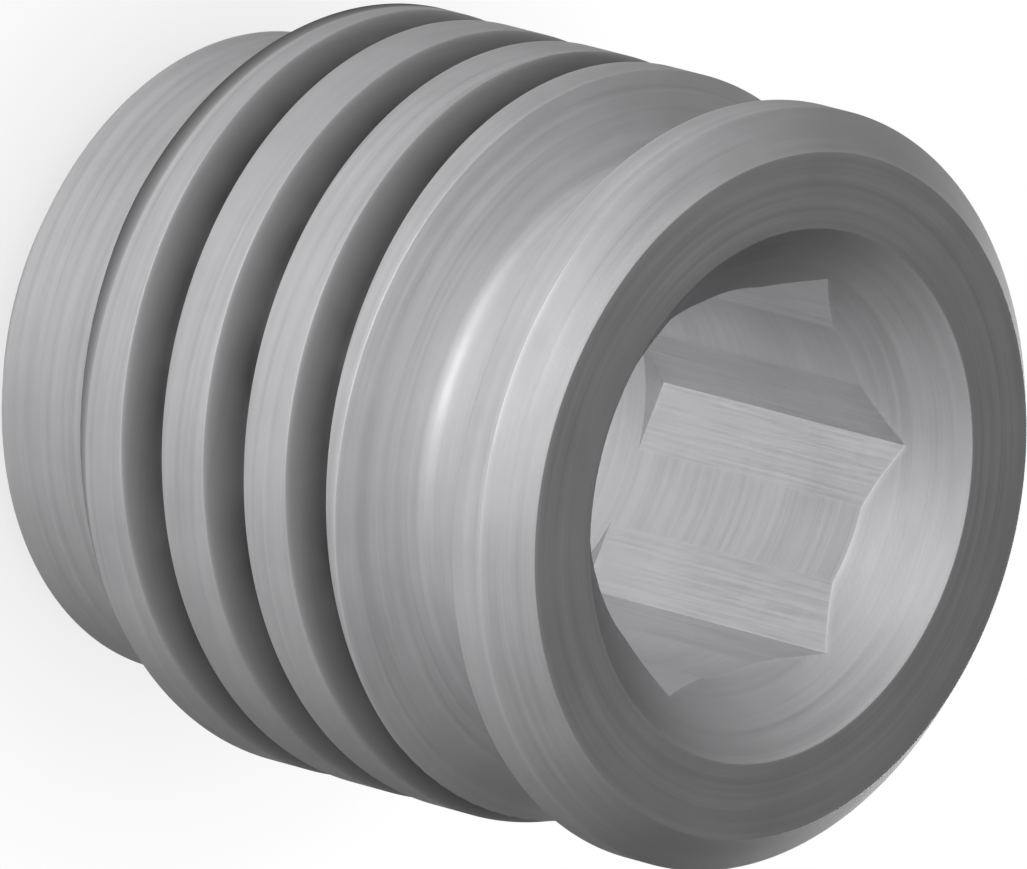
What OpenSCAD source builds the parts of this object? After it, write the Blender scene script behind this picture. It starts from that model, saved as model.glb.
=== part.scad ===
// Threaded plug with a hexagon socket, turned in one piece from round steel bar.
// It stands on the end of its pilot with the head up: z = 0 is that end, and the axis is z.
// Lengths are in millimetres and angles in degrees.

/* [Head] */
// Diameter of the head
head_d = 10; // [8:0.5:20]
// Thickness of the head, with its chamfer
head_t = 1; // [0.6:0.1:4]
// Width of the 45 degree chamfer round the front face
head_chamfer = 0.5; // [0.1:0.05:1]

/* [Neck] */
// Diameter of the bare neck between head and thread
neck_d = 7.85; // [7:0.05:9]
// Width of the neck, from the head to the foot of the sloped thread end
neck_w = 1.5; // [0.8:0.1:5]
// Radius in both inside corners of the neck
neck_fillet = 0.3; // [0.1:0.05:0.6]

/* [Thread] */
// Diameter over the crests of the thread
thread_d = 10; // [9:0.5:20]
// Length of the thread, with its sloped end
thread_len = 5.5; // [3:0.25:20]
// Slope of the end that faces the neck, measured from square to the axis
end_slope = 30; // [10:1:50]
// Distance from one turn of the thread to the next
pitch = 1.5; // [1:0.05:3]
// Width of the groove at the outside of the thread
groove_w = 0.75; // [0.4:0.05:0.95]
// Angle between the two flanks of the groove
flank_angle = 60; // [50:1:90]
// Radius at the root of the groove
root_r = 0.15; // [0.05:0.01:0.2]
// Direction in which the groove runs out of the lower end of the thread
run_out_angle = -24; // [-180:1:180]

/* [Pilot] */
// Diameter of the plain pilot below the thread
pilot_d = 8.5; // [7:0.1:9.5]
// Length of the pilot, with its chamfer
pilot_len = 2.5; // [1:0.1:10]
// Width of the 45 degree chamfer round the lower end
pilot_chamfer = 0.5; // [0.1:0.05:1]

/* [Socket] */
// Width of the hexagon across its flats
hex_af = 5; // [3:0.5:5.5]
// Depth of the hexagon below the front face
hex_depth = 5; // [2:0.1:6.5]
// Diameter of the hole drilled for the hexagon
drill_d = 5.1; // [4:0.1:5.7]
// Depth of that hole to the end of its full diameter
drill_depth = 6; // [5.1:0.1:7]
// Angle of the point that the drill leaves
drill_point = 118; // [90:1:140]
// Diameter of the countersink at the front face
countersink_d = 7; // [6:0.1:8]
// Angle of the countersink
countersink_angle = 90; // [60:1:120]

/* [Hidden] */
$fn = 96;
// Straight lengths in one turn of the groove and in the arc of its root
turn_steps = 36;
root_steps = 3;
// How far a cut runs past the face that it starts from
overrun = 0.2;

head_r = head_d / 2;
neck_r = neck_d / 2;
thread_r = thread_d / 2;
pilot_r = pilot_d / 2;

// Heights above the lower end
thread_z = pilot_len;
neck_z = thread_z + thread_len;
head_z = neck_z + neck_w;
front_z = head_z + head_t;
slope_z = neck_z - (thread_r - neck_r) * tan(end_slope);

// The groove's depth follows from its width, its flanks and its root
half_flank = flank_angle / 2;
groove_depth = groove_w / 2 / tan(half_flank) - root_r * (1 / sin(half_flank) - 1);
groove_z = thread_z - groove_w;
groove_turns = ceil((neck_z + groove_w - groove_z) / pitch * turn_steps) / turn_steps;

// Direction in the plane of a profile
function direction(angle) = [cos(angle), sin(angle)];

// Section of the groove as [radius, height] points, from its upper edge round the root
function groove_section() =
    let (
        edge_r = thread_r + overrun,
        edge_z = groove_w / 2 + overrun * tan(half_flank),
        arc_r = thread_r - groove_depth + root_r,
        arc_end = 90 - half_flank
    )
    [
        [edge_r, edge_z],
        for (i = [0 : root_steps])
            let (a = arc_end * (1 - 2 * i / root_steps))
            [arc_r - root_r * cos(a), root_r * sin(a)],
        [edge_r, -edge_z]
    ];

// The same section carried round the axis by an angle and up the helix with it
function groove_ring(section, angle) =
    let (
        rise = groove_z + pitch * angle / 360,
        heading = angle + run_out_angle + 360 * (groove_z - thread_z) / pitch
    )
    [for (p = section) [p[0] * cos(heading), p[0] * sin(heading), p[1] + rise]];

// Right-hand helical cutter for the whole thread
module thread_groove() {
    section = groove_section();
    n = len(section);
    rings = groove_turns * turn_steps;
    points = [
        for (i = [0 : rings])
            each groove_ring(section, i * 360 / turn_steps)
    ];
    sides = [
        for (i = [0 : rings - 1])
            for (k = [0 : n - 1])
                let (a = i * n + k, b = i * n + (k + 1) % n)
                each [[a, b, a + n], [b, b + n, a + n]]
    ];
    start_cap = [for (k = [n - 1 : -1 : 0]) k];
    end_cap = [for (k = [0 : n - 1]) rings * n + k];
    polyhedron(points, concat(sides, [start_cap, end_cap]));
}

// Threaded length, with a square lower end and a sloped upper one
module threaded_length() {
    difference() {
        rotate_extrude() polygon([
            [0, thread_z],
            [thread_r, thread_z],
            [thread_r, slope_z],
            [neck_r, neck_z],
            [0, neck_z]
        ]);
        thread_groove();
    }
}

// Profile of the material that rounds an inside corner between two lines
module corner_fillet(corner, first_angle, second_angle, radius) {
    half = (second_angle - first_angle) / 2;
    reach = radius / tan(half);
    centre = corner + radius / sin(half) * direction(first_angle + half);
    difference() {
        polygon([
            corner,
            corner + reach * direction(first_angle),
            centre,
            corner + reach * direction(second_angle)
        ]);
        translate(centre) circle(r = radius);
    }
}

// Everything that is plain round bar: pilot, core, neck and head
module plain_lengths() {
    rotate_extrude() {
        polygon([
            [0, 0],
            [pilot_r - pilot_chamfer, 0],
            [pilot_r, pilot_chamfer],
            [pilot_r, thread_z],
            [neck_r, thread_z],
            [neck_r, head_z],
            [head_r, head_z],
            [head_r, front_z - head_chamfer],
            [head_r - head_chamfer, front_z],
            [0, front_z]
        ]);
        corner_fillet([neck_r, neck_z], -end_slope, 90, neck_fillet);
        corner_fillet([neck_r, head_z], -90, 0, neck_fillet);
    }
}

// Hexagon with the drilled hole that it was broached from, and the countersink round both
module socket() {
    drill_r = drill_d / 2;
    drill_floor = front_z - drill_depth;
    point_h = drill_r / tan(drill_point / 2);
    mouth_h = countersink_d / 2 / tan(countersink_angle / 2);
    flare = (mouth_h + overrun) / mouth_h;
    translate([0, 0, front_z - hex_depth])
        cylinder(d = hex_af / cos(30), h = hex_depth + overrun, $fn = 6);
    translate([0, 0, drill_floor])
        cylinder(r = drill_r, h = drill_depth + overrun);
    translate([0, 0, drill_floor - point_h])
        cylinder(r1 = 0, r2 = drill_r, h = point_h);
    translate([0, 0, front_z - mouth_h])
        cylinder(r1 = 0, r2 = countersink_d / 2 * flare, h = mouth_h * flare);
}

module plug() {
    color([0.72, 0.72, 0.73])
        difference() {
            union() {
                plain_lengths();
                threaded_length();
            }
            socket();
        }
}

plug();
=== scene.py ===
from math import acos, atan2, ceil, cos, degrees, radians, sin, sqrt, tan

import bmesh
import bpy
import numpy as np
from bpy.props import FloatProperty, FloatVectorProperty, IntProperty, PointerProperty
from bpy.types import Operator, Panel, PropertyGroup
from mathutils import Matrix, Vector


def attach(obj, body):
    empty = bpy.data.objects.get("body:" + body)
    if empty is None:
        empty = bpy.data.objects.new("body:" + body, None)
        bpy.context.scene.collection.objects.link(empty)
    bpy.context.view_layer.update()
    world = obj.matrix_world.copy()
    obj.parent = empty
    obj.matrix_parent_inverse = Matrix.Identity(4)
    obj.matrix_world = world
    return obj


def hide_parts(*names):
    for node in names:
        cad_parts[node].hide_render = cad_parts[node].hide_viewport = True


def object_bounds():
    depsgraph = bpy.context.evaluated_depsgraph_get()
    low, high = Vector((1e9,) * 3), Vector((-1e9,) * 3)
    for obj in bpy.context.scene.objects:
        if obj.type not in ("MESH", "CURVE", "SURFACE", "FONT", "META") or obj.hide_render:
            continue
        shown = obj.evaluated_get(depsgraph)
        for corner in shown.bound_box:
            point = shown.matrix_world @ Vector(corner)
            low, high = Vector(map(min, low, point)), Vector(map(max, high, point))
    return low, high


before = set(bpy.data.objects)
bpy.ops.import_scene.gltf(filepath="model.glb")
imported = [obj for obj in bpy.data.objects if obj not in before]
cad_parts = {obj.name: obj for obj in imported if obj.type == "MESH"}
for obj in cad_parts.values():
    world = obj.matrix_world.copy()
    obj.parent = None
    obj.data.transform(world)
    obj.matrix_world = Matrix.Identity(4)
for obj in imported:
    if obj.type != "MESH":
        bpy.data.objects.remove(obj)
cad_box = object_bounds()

bl_info = {
    "name": "Pipe plug",
    "version": (1, 0, 0),
    "blender": (4, 5, 0),
    "location": "3D View > Sidebar > Pipe plug",
    "description": "Turned steel pipe plug with a hexagon socket, and a plain stage for it",
    "category": "Object",
}

MM = 0.001
NODE = "plug"

# Steps of the mesh: in small arcs, in the lead radius and the painted shade above it, down the
# slope and the socket
ARC_STEP = radians(15)
LEAD_STEP = radians(7.5)
PAINTED_SHADE_STEPS = 12
SLOPE_STEPS = 36
WALL_STEPS = 4

# Changes to a millimetre along the marks of each tool, and those of the stain across and along
FEED_ALONG = 0.12
FINE_ALONG = 0.3
BROACH_ALONG = 0.7
STAIN_ACROSS = 5
STAIN_ALONG = 0.8

# Size of patches and specks, in changes to a metre, and how harsh the noise of fine marks is
PATCHES_PER_METRE = 900
SPECKS_PER_METRE = 16000
FINE_HARSHNESS = 0.6

# Value that all noise varies about
MIDDLE = 0.5

# How much each pattern adds to the tone, the roughness, the relief and the cover of painted shade
# in the thread
FEED_SHARE = 0.6
MARK_TONE = 1.3
PATCH_TONE = 0.7
MARK_ROUGHNESS = 0.3
STAIN_ROUGHNESS = 0.2
PAINTED_SHADE_ROUGHNESS = 0.16
PAINTED_SHADE_DULLING = 0.7
SPECK_RELIEF = 0.35
PAINTED_SHADE_RISE = 0.35
PAINTED_SHADE_COVER = 0.88
PAINTED_SHADE_PATCHES = 0.24
RUB_COVER = 0.05
RUB_SPECKS = 0.5

# Samples of the soft shade on the floor, and the camera's clipping range in times its distance
SHADE_SAMPLES = 8
CLIP_RANGE = 10

# The packed model's box gives the two outer sizes
BAR_DIAMETER = cad_box[1][0] - cad_box[0][0]
OVERALL_LENGTH = cad_box[1][2] - cad_box[0][2]


def length(name, description, default):
    """Property for a size, in metres."""
    return FloatProperty(
        name=name, description=description, default=default, min=0, unit="LENGTH", precision=5
    )


def angle(name, description, default):
    """Property for an angle, given in degrees."""
    return FloatProperty(
        name=name, description=description, default=radians(default), subtype="ANGLE"
    )


def share(name, description, default):
    """Property for a share, from 0 to 1."""
    return FloatProperty(
        name=name, description=description, default=default, min=0, max=1, subtype="FACTOR"
    )


def spacing(name, description, default):
    """Property for marks to a millimetre."""
    return FloatProperty(name=name, description=description, default=default, min=0, max=100)


def power(name, description, default):
    """Property for a lamp's power, in watts."""
    return FloatProperty(
        name=name, description=description, default=default, min=0, unit="POWER", precision=3
    )


def colour(name, description, default):
    """Property for a colour."""
    return FloatVectorProperty(
        name=name, description=description, default=default, subtype="COLOR", min=0, max=1
    )


class TurnedSizes(PropertyGroup):
    """Sizes of the turned body."""

    head_diameter: length("Head diameter", "Diameter of the head", BAR_DIAMETER)
    head_thickness: length("Head thickness", "Head with its chamfer", 1.0 * MM)
    head_chamfer: length("Head chamfer", "Chamfer round the front face", 0.5 * MM)
    neck_diameter: length("Neck diameter", "Diameter of the bare neck", 7.85 * MM)
    neck_width: length("Neck width", "From the head to the foot of the slope", 1.5 * MM)
    neck_fillet: length("Neck fillet", "Radius in both inside corners of the neck", 0.3 * MM)
    pilot_diameter: length("Pilot diameter", "Diameter of the plain pilot", 8.5 * MM)
    pilot_length: length("Pilot length", "Pilot with its chamfer", 2.5 * MM)
    pilot_chamfer: length("Pilot chamfer", "Chamfer round the lower end", 0.5 * MM)
    overall_length: length("Overall length", "From the lower end to the front face", OVERALL_LENGTH)
    edge_radius: length("Edge radius", "Rounding that deburring leaves on each edge", 0.02 * MM)
    wear_width: length("Wear width", "How far the rubbed edge fades into the surface", 0.06 * MM)
    columns: IntProperty(name="Columns", description="Steps round the plug", default=360, min=60)


class ThreadSizes(PropertyGroup):
    """Sizes of the threaded length."""

    diameter: length("Diameter", "Outside diameter over the crests", BAR_DIAMETER)
    end_slope: angle("End slope", "Slope of the end that faces the neck, from square", 30)
    pitch: length("Pitch", "From one turn to the next", 1.5 * MM)
    groove_width: length("Groove width", "Width of the groove between two crests", 0.75 * MM)
    flank_angle: angle("Flank angle", "Angle between the two flanks", 60)
    root_radius: length("Root radius", "Radius at the root of the groove", 0.15 * MM)
    lead_radius: length("Lead radius", "Rounding that leads the lower end into a port", 0.12 * MM)
    # Shade is painted up the crest from the lower end, over this reach
    painted_crest_shade: length("Crest stain", "How far the lower end's stain climbs the crest", 0.2 * MM)
    run_out: angle("Run-out", "Direction in which the groove leaves the lower end", -24)


class SocketSizes(PropertyGroup):
    """Sizes of the hexagon socket."""

    across_flats: length("Across flats", "Width of the hexagon", 5.0 * MM)
    hexagon_depth: length("Hexagon depth", "Depth below the front face", 5.0 * MM)
    drill_diameter: length("Drill diameter", "Hole drilled for the hexagon", 5.1 * MM)
    drill_depth: length("Drill depth", "To the end of its full diameter", 6.0 * MM)
    drill_point: angle("Drill point", "Angle of the point that the drill leaves", 118)
    countersink_diameter: length("Countersink diameter", "At the front face", 7.0 * MM)
    countersink_angle: angle("Countersink angle", "Full angle of the countersink", 90)


class SteelFinish(PropertyGroup):
    """Colours and marks of the steel."""

    steel: colour("Steel", "Clean turned steel", (0.45, 0.45, 0.46))
    rubbed: colour("Rubbed edge", "Steel rubbed bright on its edges", (0.53, 0.53, 0.54))
    # The thread groove's colour is painted shade, strongest at the root
    groove: colour("Thread groove", "Oil and oxide left in the thread", (0.026, 0.026, 0.027))
    tone_spread: share("Tone spread", "How far marks darken and lighten the steel", 0.13)
    feed_marks: spacing("Feed marks", "Broad turning marks to a millimetre", 11)
    fine_marks: spacing("Fine marks", "Fine turning marks to a millimetre", 26)
    broach_lines: spacing("Broach lines", "Lines on the hexagon's flats to a millimetre", 24)
    metallic: share("Metallic", "How far the steel reflects as bare metal", 0.5)
    roughness: share("Roughness", "Roughness of clean steel", 0.64)
    mark_height: length("Mark height", "Height of the tool marks", 0.0024 * MM)


class StudioSizes(PropertyGroup):
    """Floor, lamps and camera."""

    floor_width: length("Floor width", "Width of the pale floor", 600 * MM)
    floor_gap: length("Floor gap", "Keeps the floor and the lower end from merging", 0.01 * MM)
    floor_colour: colour("Floor colour", "Pale floor", (0.6, 0.6, 0.6))
    backdrop: share("Backdrop", "How far the floor shows the plain backdrop white", 1.0)
    floor_shine: share("Floor shine", "How far it does so where the steel mirrors it", 0.1)
    contact_shade: share("Contact shade", "Depth of the soft shade round the plug's foot", 0.25)
    contact_reach: length("Contact reach", "How far that shade spreads", 4 * MM)
    ambient: share("Ambient", "Strength of the even light from all sides", 0.02)
    horizon: share("Horizon", "Brightness of the horizon that the steel mirrors", 0.25)
    ceiling: share("Ceiling", "Brightness of the ceiling that the steel mirrors", 0.1)
    horizon_top: angle("Horizon top", "Height above which the horizon fades", 4.6)
    ceiling_edge: angle("Ceiling edge", "Height from which there is only ceiling", 24.4)
    key_power: power("Key power", "Power of the main lamp", 0.187)
    key_height: angle("Key height", "Main lamp above the horizon", 20.5)
    key_turn: angle("Key turn", "Main lamp round from the near side", -13.5)
    back_power: power("Back power", "Power of the back lamp", 0.1)
    back_height: angle("Back height", "Back lamp above the horizon", 0)
    back_turn: angle("Back turn", "Back lamp round from the near side", 180)
    lamp_distance: length("Lamp distance", "From each lamp to the plug", 120 * MM)
    lamp_width: length("Lamp width", "Width of each lamp, and height of the main one", 80 * MM)
    strip_height: length("Strip height", "Height of the back lamp, which is a low strip", 12 * MM)
    view_angle: angle("View angle", "Between the plug's axis and the line to the camera", 47.05)
    near_side: angle("Near side", "Direction of the side that faces the camera", -81.2)
    roll: angle("Roll", "Turn of the plug's axis from level in the picture", 14.83)
    frame_width: length("Frame width", "Width that the picture takes in", 13.288 * MM)
    lens: FloatProperty(
        name="Lens", description="Focal length in mm", default=1200, min=50, unit="CAMERA"
    )
    aim_right: length("Aim right", "Picture's centre, right of the plug's middle", 0.2627 * MM)
    aim_down: length("Aim down", "Picture's centre, below the plug's middle", 0.1863 * MM)


def direction_to(start, end):
    """Unit vector from one profile point to another, and the distance."""
    dr, dz = end[0] - start[0], end[1] - start[1]
    reach = sqrt(dr * dr + dz * dz)
    return (dr / reach, dz / reach), reach


def rounded(before, corner, after, radius, step=ARC_STEP):
    """Points of the arc that rounds one corner of a profile."""
    (ur, uz), _ = direction_to(corner, before)
    (vr, vz), _ = direction_to(corner, after)
    opening = acos(max(-1, min(1, ur * vr + uz * vz)))
    tangent = radius / tan(opening / 2)
    middle, _ = direction_to((0, 0), (ur + vr, uz + vz))
    to_centre = radius / sin(opening / 2)
    centre = (corner[0] + middle[0] * to_centre, corner[1] + middle[1] * to_centre)
    first = atan2(corner[1] + uz * tangent - centre[1], corner[0] + ur * tangent - centre[0])
    last = atan2(corner[1] + vz * tangent - centre[1], corner[0] + vr * tangent - centre[0])
    sweep = (last - first + radians(180)) % radians(360) - radians(180)
    step_margin = 0.01
    count = ceil(abs(sweep) / step - step_margin)
    angles = [first + sweep * i / count for i in range(count + 1)]
    return [(centre[0] + radius * cos(a), centre[1] + radius * sin(a)) for a in angles]


def profile(corners, wear_width):
    """Profile points (radius, height, wear) through corners (radius, height, rounding, worn).

    A worn corner is rubbed bright, and its wear fades out over wear_width on both sides.
    """
    points = []
    for i, (r, z, rounding, worn) in enumerate(corners):
        if not rounding:
            points.append((r, z, 0.0))
            continue
        before, after = corners[i - 1][:2], corners[i + 1][:2]
        arc = rounded(before, (r, z), after, rounding)
        if worn:
            (dr, dz), _ = direction_to(arc[0], before)
            points.append((arc[0][0] + dr * wear_width, arc[0][1] + dz * wear_width, 0.0))
        points += [(x, y, float(worn)) for x, y in arc]
        if worn:
            (dr, dz), _ = direction_to(arc[-1], after)
            points.append((arc[-1][0] + dr * wear_width, arc[-1][1] + dz * wear_width, 0.0))
    return points


class Surface:
    """Rows of points round the axis, from the lower end up the outside and down the socket.

    Each row holds one value for every column, or a plain number where all columns agree.
    """

    KEYS = ("radius", "height", "tool_run", "edge_wear", "groove_depth", "broached")

    def __init__(self, turns):
        self.turns = turns
        self.rows = []

    def add(self, radius, height, wear=0.0, run=None, groove=0.0, broached=0.0):
        """Adds a row. tool_run, the distance that the tool has travelled, follows from it."""
        if run is None:
            run = 0.0
            if self.rows:
                last = self.rows[-1]
                run = last[2] + np.hypot(radius - last[0], height - last[1])
        self.rows.append((radius, height, run, wear, groove, broached))

    def add_profile(self, points):
        """Adds plain turned rows."""
        for radius, height, wear in points:
            self.add(radius, height, wear)

    def arrays(self):
        """Every value as an array of rows by columns."""
        count = len(self.turns)
        stacks = zip(*((np.broadcast_to(value, count) for value in row) for row in self.rows))
        return {key: np.array(stack) for key, stack in zip(self.KEYS, stacks)}


def groove_profile(thread, edge_radius, wear_width):
    """One pitch of the thread, from the middle of one crest to the next, as rows of a profile."""
    crest = thread.diameter / 2
    edge = thread.groove_width / 2
    middle = thread.pitch / 2
    sharp_depth = edge / tan(thread.flank_angle / 2)
    corners = [
        (crest, -middle, 0, False),
        (crest, -(middle + edge) / 2, 0, False),
        (crest, -edge, edge_radius, True),
        (crest - sharp_depth, 0, thread.root_radius, False),
        (crest, edge, edge_radius, True),
        (crest, (middle + edge) / 2, 0, False),
        (crest, middle, 0, False),
    ]
    return np.array(profile(corners, wear_width))


class Thread:
    """The helical groove: its radius and wear at any direction and height."""

    def __init__(self, turned, thread, turns):
        self.pitch = thread.pitch
        self.crest = thread.diameter / 2
        self.groove = groove_profile(thread, turned.edge_radius, turned.wear_width)
        self.root = self.groove[:, 0].min()
        # Height of the groove's middle in each direction, on the turn that leaves the lower end
        self.middle = turned.pilot_length + self.pitch * (turns - degrees(thread.run_out) / 360)

    def read(self, height):
        """Radius and wear of the groove at a height, in every direction."""
        beside = (height - self.middle + self.pitch / 2) % self.pitch - self.pitch / 2
        radius = np.interp(beside, self.groove[:, 1], self.groove[:, 0])
        wear = np.interp(beside, self.groove[:, 1], self.groove[:, 2])
        return radius, wear

    def helical_heights(self, low, high):
        """Heights of rows that follow the groove, held between two heights."""
        first = int(np.floor((low - self.middle[0]) / self.pitch - 0.5))
        last = int(np.ceil((high - self.middle[-1]) / self.pitch + 0.5))
        steps = self.groove[:-1, 1]
        turns = range(first, last + 1)
        rows = [self.middle + turn * self.pitch + step for turn in turns for step in steps]
        return [np.clip(row, low, high) for row in rows]

    def cut(self, surface, radius, height, wear, run, stain_and_shade=0.0):
        """Adds a row of the bar at that radius, cut by the groove.

        Its last value, from 0 to 1, paints shade on the bar itself, as the groove's depth paints
        shade in the groove.
        """
        groove, rubbed = self.read(height)
        cut = np.minimum(radius, groove)
        # The groove's depth, or the band at the lower end, sets how much shade is painted
        depth = np.where(groove < radius, (self.crest - groove) / (self.crest - self.root), 0)
        depth = np.maximum(depth, stain_and_shade)
        wear = np.maximum(wear, np.where(groove < radius, rubbed, wear))
        surface.add(cut, height, wear, run, depth)


def threaded_rows(surface, turned, thread, slope_z, slope_end):
    """Adds the threaded length, from its rounded lower end to where the slope passes the root.

    Returns the first and the last of the rows that follow the helix, and how many make one turn.
    """
    form = Thread(turned, thread, surface.turns)
    crest, low_z = form.crest, turned.pilot_length
    fade = turned.wear_width
    face_r = surface.rows[-1][0]
    run = surface.rows[-1][2] - face_r

    lead = rounded(
        (face_r, low_z), (crest, low_z), (crest, slope_z), thread.lead_radius, LEAD_STEP
    )
    # Rows up the crest, over which the painted shade at the lower end fades
    lead += [
        (crest, low_z + thread.lead_radius + thread.painted_crest_shade * i / PAINTED_SHADE_STEPS)
        for i in range(1, PAINTED_SHADE_STEPS + 1)
    ]
    for radius, height in lead:
        # Painted shade, darkest at the lower end
        stain_and_shade = 1 - (height - low_z) / (thread.lead_radius + thread.painted_crest_shade)
        form.cut(surface, radius, height, 0, run + radius + height - low_z, stain_and_shade)
    run += crest - low_z

    upper_edge = rounded((crest, low_z), (crest, slope_z), slope_end, turned.edge_radius)
    low, high = lead[-1][1], upper_edge[0][1]
    first = len(surface.rows)
    for height in form.helical_heights(low, high):
        form.cut(surface, crest, height, np.clip(1 - (high - height) / fade, 0, 1), run + height)
    last = len(surface.rows) - 1

    for radius, height in upper_edge:
        form.cut(surface, radius, height, 1, run + height)
    run += upper_edge[-1][1]
    start = upper_edge[-1]
    (dr, dz), _ = direction_to(start, slope_end)
    reach = (start[0] - form.root + turned.edge_radius) / -dr
    for i in range(1, SLOPE_STEPS + 1):
        along = reach * i / SLOPE_STEPS
        rubbed = max(0, 1 - along / fade)
        form.cut(surface, start[0] + dr * along, start[1] + dz * along, rubbed, run + along)
    return first, last, len(form.groove) - 1


def socket_radius(socket, angles):
    """Radius of the socket's wall: the hexagon, or the drilled hole where that is wider."""
    from_flat = (angles % radians(60)) - radians(30)
    hexagon = socket.across_flats / 2 / np.cos(from_flat)
    return np.maximum(hexagon, socket.drill_diameter / 2)


def socket_rows(surface, turned, socket):
    """Adds the countersink's lower part, the broached wall, the ledge and the drilled bottom."""
    front = turned.overall_length
    drill = socket.drill_diameter / 2
    wall = socket_radius(socket, surface.turns * radians(360))
    drill_margin = 1.0001
    flat = np.where(wall > drill * drill_margin, 1.0, 0.0)
    steepness = 1 / tan(socket.countersink_angle / 2)
    mouth = front - (socket.countersink_diameter / 2 - wall) * steepness
    fade = turned.wear_width
    surface.add(wall + fade, mouth + fade * steepness)
    for dr, dz in rounded((1, steepness), (0, 0), (0, -1), turned.edge_radius):
        surface.add(wall + dr, mouth + dz, 1, broached=flat)
    surface.add(wall, mouth - fade, broached=flat)
    ledge = front - socket.hexagon_depth
    wall_height = ledge - mouth + fade
    for i in range(1, WALL_STEPS + 1):
        surface.add(wall, mouth - fade + wall_height * i / WALL_STEPS, broached=flat)
    surface.add(drill, ledge, run=surface.rows[-1][2].max())
    drilled_end = front - socket.drill_depth
    surface.add(drill, drilled_end)
    surface.add(0, drilled_end - drill / tan(socket.drill_point / 2))


def column_turns(count, socket):
    """Directions of the columns, in turns.

    One lies on each edge between a flat of the hexagon and the drilled hole.
    """
    turns = np.arange(count) / count
    half_bare = degrees(acos(socket.across_flats / socket.drill_diameter)) / 360
    for flat in range(6):
        for side in (-1, 1):
            edge = (flat + 0.5) / 6 + side * half_bare
            turns[int(round(edge * count))] = edge
    return turns


def plug_surface(turned, thread, socket):
    """All rows of the plug, and which of them follow the helix."""
    edge, fade = turned.edge_radius, turned.wear_width
    pilot = turned.pilot_diameter / 2
    neck = turned.neck_diameter / 2
    head = turned.head_diameter / 2
    crest = thread.diameter / 2
    thread_z = turned.pilot_length
    front = turned.overall_length
    head_z = front - turned.head_thickness
    neck_z = head_z - turned.neck_width
    slope_z = neck_z - (crest - neck) * tan(thread.end_slope)
    mouth = socket.countersink_diameter / 2
    mouth_depth = mouth / 2 / tan(socket.countersink_angle / 2)

    surface = Surface(column_turns(turned.columns, socket))
    surface.add_profile(profile([
        (0, 0, 0, False),
        (pilot - turned.pilot_chamfer, 0, edge, True),
        (pilot, turned.pilot_chamfer, edge, True),
        (pilot, thread_z, edge, False),
        (crest, thread_z, 0, False),
    ], fade)[:-1])
    helix = threaded_rows(surface, turned, thread, slope_z, (neck, neck_z))
    surface.add_profile(profile([
        (surface.rows[-1][0].min(), surface.rows[-1][1], 0, False),
        (neck, neck_z, turned.neck_fillet, False),
        (neck, head_z, turned.neck_fillet, False),
        (head, head_z, edge, True),
        (head, front - turned.head_chamfer, edge, True),
        (head - turned.head_chamfer, front, edge, True),
        (mouth, front, edge, True),
        (mouth / 2, front - mouth_depth, 0, False),
    ], fade)[1:-1])
    socket_rows(surface, turned, socket)
    return surface, helix


def plug_mesh(surface, helix, name):
    """Mesh of the rows, joined round the axis. Rows on the helix step up one turn at the seam."""
    values = surface.arrays()
    rows, columns = values["radius"].shape
    angles = surface.turns * radians(360)
    places = np.stack([
        values["radius"] * np.cos(angles), values["radius"] * np.sin(angles), values["height"]
    ], axis=-1)
    first, last, turn_rows = helix
    next_row = np.arange(rows)
    on_helix = slice(first, last + 1)
    next_row[on_helix] = np.minimum(next_row[on_helix] + turn_rows, last)
    faces = []
    for column in range(columns):
        beside = (column + 1) % columns
        across = next_row if beside == 0 else np.arange(rows)
        for row in range(rows - 1):
            faces.append((
                row * columns + column,
                across[row] * columns + beside,
                across[row + 1] * columns + beside,
                (row + 1) * columns + column,
            ))
    mesh = bpy.data.meshes.new(name)
    mesh.from_pydata(places.reshape(-1, 3).tolist(), [], faces)
    for key in Surface.KEYS[2:]:
        scale = 1 / MM if key == "tool_run" else 1
        layer = mesh.attributes.new(key, "FLOAT", "POINT")
        layer.data.foreach_set("value", (values[key] * scale).astype(np.float32).ravel())
    return mesh


class Signal:
    """An output socket of a shader tree. Arithmetic on it adds Math nodes."""

    def __init__(self, shader, socket):
        self.shader = shader
        self.socket = socket

    def math(self, operation, *values, clamp=False):
        """Math node on these values."""
        settings = {"operation": operation, "use_clamp": clamp}
        return self.shader.node("ShaderNodeMath", settings, dict(enumerate(values)))["Value"]

    def __add__(self, other):
        return self.math("ADD", self, other)

    def __radd__(self, other):
        return self.math("ADD", other, self)

    def __sub__(self, other):
        return self.math("SUBTRACT", self, other)

    def __rsub__(self, other):
        return self.math("SUBTRACT", other, self)

    def __mul__(self, other):
        return self.math("MULTIPLY", self, other)

    def __rmul__(self, other):
        return self.math("MULTIPLY", other, self)

    def __truediv__(self, other):
        return self.math("DIVIDE", self, other)

    def __rtruediv__(self, other):
        return self.math("DIVIDE", other, self)

    def __pow__(self, other):
        return self.math("POWER", self, other)

    def __rpow__(self, other):
        return self.math("POWER", other, self)

    def at_least(self, other):
        """The larger of two values."""
        return self.math("MAXIMUM", self, other)

    def clamped(self):
        """The same value, held between 0 and 1."""
        return self.math("ADD", self, 0.0, clamp=True)


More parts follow.
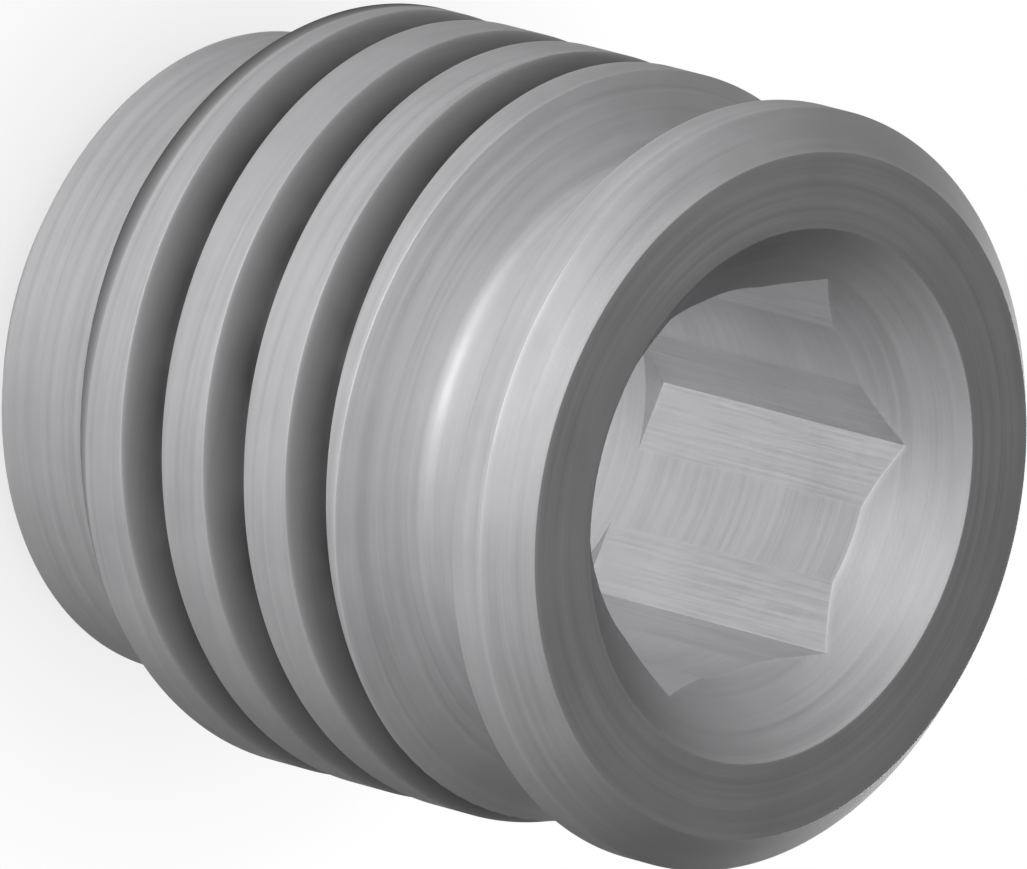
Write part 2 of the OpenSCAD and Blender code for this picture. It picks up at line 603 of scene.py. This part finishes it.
class Shader:
    """A node tree, emptied, with one method that adds nodes."""

    def __init__(self, owner):
        owner.use_nodes = True
        self.tree = owner.node_tree
        self.tree.nodes.clear()

    def node(self, kind, settings=None, inputs=None):
        """Adds a node, sets it up, fills its sockets, and returns its outputs by name."""
        node = self.tree.nodes.new(kind)
        for key, value in (settings or {}).items():
            setattr(node, key, value)
        for key, value in (inputs or {}).items():
            socket = input_socket(node, key)
            if isinstance(value, Signal):
                self.tree.links.new(value.socket, socket)
            else:
                socket.default_value = value
        return {socket.name: Signal(self, socket) for socket in node.outputs if socket.enabled}

    def value(self, name):
        """A number that the mesh carries at each point."""
        return self.node("ShaderNodeAttribute", {"attribute_name": name})["Fac"]

    def noise(self, vector, scale, detail, roughness=0.5):
        """Noise from 0 to 1 on a vector."""
        inputs = {"Vector": vector, "Scale": scale, "Detail": detail, "Roughness": roughness}
        return self.node("ShaderNodeTexNoise", {}, inputs)["Fac"]

    def mix(self, factor, first, second):
        """Blend of two colours."""
        inputs = {"Factor": factor, "A": opaque(first), "B": opaque(second)}
        return self.node("ShaderNodeMix", {"data_type": "RGBA"}, inputs)["Result"]

    def blend(self, factor, first, second):
        """Mix of two shaders."""
        return self.node("ShaderNodeMixShader", {}, {0: factor, 1: first, 2: second})["Shader"]

    def vector(self, x, y, z):
        """Vector of three values."""
        return self.node("ShaderNodeCombineXYZ", {}, {"X": x, "Y": y, "Z": z})["Vector"]


def input_socket(node, key):
    """Input socket by its place, or by its name among those in use."""
    if isinstance(key, int):
        return node.inputs[key]
    return next(socket for socket in node.inputs if socket.enabled and socket.name == key)


def opaque(value):
    """A three-part colour with its alpha added. A signal as it is."""
    return value if isinstance(value, Signal) else (*value, 1.0)


def turned_steel(finish):
    """Satin steel with fine circular tool marks, broached flats, bright edges and painted shade in
    the thread.
    """
    material = bpy.data.materials.new("turned_steel")
    shader = Shader(material)
    place = shader.node("ShaderNodeTexCoord")["Object"]
    axes = shader.node("ShaderNodeSeparateXYZ", {}, {"Vector": place})
    x, y, z = (axes[key] / MM for key in "XYZ")
    run = shader.value("tool_run")
    wear = shader.value("edge_wear")
    depth = shader.value("groove_depth")
    broached = shader.value("broached")

    def rings(across, along, roughness=0.5):
        """Noise in rings, with so many changes to a millimetre across and along them."""
        course = shader.vector(run * across, x * along, y * along)
        return shader.noise(course, scale=1, detail=1, roughness=roughness)

    # Marks: rings from the turning tool, coarse and fine, and lines down the broached flats
    feed = rings(finish.feed_marks, FEED_ALONG)
    fine = rings(finish.fine_marks, FINE_ALONG, FINE_HARSHNESS)
    down = shader.vector(x * finish.broach_lines, y * finish.broach_lines, z * BROACH_ALONG)
    lines = shader.noise(down, scale=1, detail=1, roughness=FINE_HARSHNESS)
    turning = feed * FEED_SHARE + fine * (1 - FEED_SHARE)
    marks = turning * (1 - broached) + lines * broached
    patches = shader.noise(place, PATCHES_PER_METRE, detail=2)
    specks = shader.noise(place, SPECKS_PER_METRE, detail=1)
    stain_and_shade = rings(STAIN_ACROSS, STAIN_ALONG)

    # Painted shade in the thread: darker the deeper the groove, and in the band at its lower end
    painted_shade = ((depth ** PAINTED_SHADE_RISE) * (PAINTED_SHADE_COVER + PAINTED_SHADE_PATCHES * patches)).clamped()
    rub = (wear * (RUB_COVER + RUB_SPECKS * specks)).clamped()
    dark, light = ([c * (1 + side * finish.tone_spread) for c in finish.steel] for side in (-1, 1))
    lightness = MIDDLE + (marks - MIDDLE) * MARK_TONE + (patches - MIDDLE) * PATCH_TONE
    tone = shader.mix(lightness.clamped(), dark, light)
    tone = shader.mix((rub * (1 - depth)).clamped(), tone, finish.rubbed)
    tone = shader.mix(painted_shade, tone, finish.groove)

    roughness = finish.roughness + (marks - MIDDLE) * MARK_ROUGHNESS
    roughness = roughness + (stain_and_shade - MIDDLE) * STAIN_ROUGHNESS + painted_shade * PAINTED_SHADE_ROUGHNESS
    relief = marks + specks * SPECK_RELIEF
    bump = shader.node("ShaderNodeBump", {}, {
        "Strength": 1.0, "Distance": finish.mark_height, "Height": relief
    })["Normal"]
    surface = shader.node("ShaderNodeBsdfPrincipled", {}, {
        "Base Color": tone,
        "Metallic": finish.metallic * (1 - painted_shade * PAINTED_SHADE_DULLING),
        "Roughness": roughness,
        "Normal": bump,
    })["BSDF"]
    shader.node("ShaderNodeOutputMaterial", {}, {"Surface": surface})
    return material


def seen_directly(shader, mirrored):
    """1 for what the camera sees, mirrored for what steel reflects, and 0 for what lights it."""
    rays = shader.node("ShaderNodeLightPath")
    seen = rays["Is Camera Ray"].at_least(rays["Is Transmission Ray"])
    return seen.at_least(rays["Is Glossy Ray"] * mirrored)


def pale_floor(studio):
    """Pale matt floor, seen as white as the backdrop, with a soft shade round the plug's foot."""
    material = bpy.data.materials.new("pale_floor")
    shader = Shader(material)
    matt = shader.node("ShaderNodeBsdfDiffuse", {}, {"Color": opaque(studio.floor_colour)})["BSDF"]
    shade, white = (
        shader.node("ShaderNodeEmission", {}, {"Color": opaque([grey] * 3)})["Emission"]
        for grey in (1 - studio.contact_shade, 1)
    )
    sky = shader.node("ShaderNodeAmbientOcclusion", {"samples": SHADE_SAMPLES}, {
        "Distance": studio.contact_reach
    })
    backdrop = shader.blend(sky["AO"], shade, white)
    seen = seen_directly(shader, studio.floor_shine) * studio.backdrop
    shader.node("ShaderNodeOutputMaterial", {}, {"Surface": shader.blend(seen, matt, backdrop)})
    return material


def backdrop_world(studio):
    """White backdrop under a dim ceiling, and even dim light from all sides."""
    world = bpy.data.worlds.new("backdrop")
    shader = Shader(world)
    direction = shader.node("ShaderNodeTexCoord")["Generated"]
    height = shader.node("ShaderNodeSeparateXYZ", {}, {"Vector": direction})["Z"]
    top, edge = sin(studio.horizon_top), sin(studio.ceiling_edge)
    low = ((edge - height) / (edge - top)).clamped()
    seen = seen_directly(shader, studio.ceiling + (studio.horizon - studio.ceiling) * low)
    ambient, white = (
        shader.node("ShaderNodeBackground", {}, {"Color": opaque([grey] * 3)})["Background"]
        for grey in (studio.ambient, 1)
    )
    shader.node("ShaderNodeOutputWorld", {}, {"Surface": shader.blend(seen, ambient, white)})
    return world


def new_object(name, data):
    """Links a new object to the scene."""
    piece = bpy.data.objects.new(name, data)
    bpy.context.scene.collection.objects.link(piece)
    return piece


def weld(mesh, reach=1e-4 * MM, crease=radians(20)):
    """Welds the rows' coincident points, and marks the creases sharp."""
    body = bmesh.new()
    body.from_mesh(mesh)
    bmesh.ops.remove_doubles(body, verts=body.verts, dist=reach)
    body.to_mesh(mesh)
    body.free()
    mesh.shade_smooth()
    mesh.set_sharp_from_angle(angle=crease)


class PLUG_OT_turn_plug(Operator):
    """Turn, thread and broach the plug, and give it its steel finish"""

    bl_idname = "plug.turn_plug"
    bl_label = "Turn plug"

    def execute(self, context):
        scene = context.scene
        surface, helix = plug_surface(scene.plug_turned, scene.plug_thread, scene.plug_socket)
        mesh = plug_mesh(surface, helix, "turned_plug")
        weld(mesh)
        mesh.materials.append(turned_steel(scene.plug_finish))
        piece = new_object("turned_plug", mesh)
        normals = piece.modifiers.new("even_normals", "WEIGHTED_NORMAL")
        normals.keep_sharp = True
        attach(piece, "root")
        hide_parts(NODE)
        return {"FINISHED"}


def lay_floor(studio):
    """Square of pale floor under the plug."""
    half = studio.floor_width / 2
    mesh = bpy.data.meshes.new("floor")
    sides = [(-half, -half), (half, -half), (half, half), (-half, half)]
    mesh.from_pydata([(x, y, -studio.floor_gap) for x, y in sides], [], [(0, 1, 2, 3)])
    mesh.materials.append(pale_floor(studio))
    new_object("floor", mesh)


def hang_lamp(name, studio, middle, place):
    """Wide lamp aimed at the plug's middle. Its place names the studio's values for it."""
    watts, height, turn = (getattr(studio, f"{place}_{key}") for key in ("power", "height", "turn"))
    heading = studio.near_side + turn
    level = Vector((cos(heading), sin(heading), 0)) * cos(height)
    toward = level + Vector((0, 0, sin(height)))
    lamp = bpy.data.lights.new(name, "AREA")
    lamp.shape = "RECTANGLE"
    lamp.energy = watts
    lamp.size = studio.lamp_width
    lamp.size_y = studio.lamp_width
    holder = new_object(name, lamp)
    holder.location = middle + toward * studio.lamp_distance
    holder.rotation_euler = toward.to_track_quat("Z", "Y").to_euler()
    return lamp


def set_camera(scene, studio, middle):
    """Looks at the plug from above its near side, with its axis across the picture."""
    axis = Vector((0, 0, 1))
    near = Vector((cos(studio.near_side), sin(studio.near_side), 0))
    back = axis * cos(studio.view_angle) + near * sin(studio.view_angle)
    along = axis * sin(studio.view_angle) - near * cos(studio.view_angle)
    across = near.cross(axis)
    right = along * cos(studio.roll) + across * sin(studio.roll)
    up = across * cos(studio.roll) - along * sin(studio.roll)
    target = middle + right * studio.aim_right - up * studio.aim_down

    camera = bpy.data.cameras.new("camera")
    camera.lens = studio.lens
    distance = studio.frame_width * camera.lens / camera.sensor_width
    camera.clip_start = distance / CLIP_RANGE
    camera.clip_end = distance * CLIP_RANGE
    holder = new_object("camera", camera)
    turn = Matrix((right, up, back)).transposed().to_4x4()
    holder.matrix_world = Matrix.Translation(target + back * distance) @ turn
    scene.camera = holder


class PLUG_OT_set_stage(Operator):
    """Set the floor, the lamps, the backdrop and the camera"""

    bl_idname = "plug.set_stage"
    bl_label = "Set stage"

    def execute(self, context):
        scene = context.scene
        studio = scene.plug_studio
        middle = Vector((0, 0, scene.plug_turned.overall_length / 2))
        lay_floor(studio)
        key = hang_lamp("key_lamp", studio, middle, "key")
        # The picture shows light in the grooves and the socket, and no shadows
        key.use_shadow = False
        back = hang_lamp("back_lamp", studio, middle, "back")
        back.size_y = studio.strip_height
        scene.world = backdrop_world(studio)
        scene.view_settings.view_transform = "Standard"
        set_camera(scene, studio, middle)
        return {"FINISHED"}


class PLUG_PT_sidebar(Panel):
    """The plug's sizes and finish, and the steps that make it"""

    bl_idname = "PLUG_PT_sidebar"
    bl_label = "Pipe plug"
    bl_space_type = "VIEW_3D"
    bl_region_type = "UI"
    bl_category = "Pipe plug"

    def draw(self, context):
        for group, kind in GROUPS.items():
            box = self.layout.box()
            sizes = getattr(context.scene, group)
            box.label(text=kind.__doc__.rstrip("."))
            for key in kind.__annotations__:
                box.prop(sizes, key)
        for step in STEPS:
            self.layout.operator(step.bl_idname)


GROUPS = {
    "plug_turned": TurnedSizes,
    "plug_thread": ThreadSizes,
    "plug_socket": SocketSizes,
    "plug_finish": SteelFinish,
    "plug_studio": StudioSizes,
}
STEPS = (PLUG_OT_turn_plug, PLUG_OT_set_stage)


def register():
    """Adds the properties, the operators and the panel to Blender."""
    for group, kind in GROUPS.items():
        bpy.utils.register_class(kind)
        setattr(bpy.types.Scene, group, PointerProperty(type=kind))
    for kind in (*STEPS, PLUG_PT_sidebar):
        bpy.utils.register_class(kind)


def unregister():
    """Removes what register adds."""
    for kind in (PLUG_PT_sidebar, *reversed(STEPS)):
        bpy.utils.unregister_class(kind)
    for group, kind in reversed(GROUPS.items()):
        delattr(bpy.types.Scene, group)
        bpy.utils.unregister_class(kind)


def main():
    """Makes the plug and its stage."""
    register()
    bpy.ops.plug.turn_plug()
    bpy.ops.plug.set_stage()


if __name__ == "__main__":
    main()
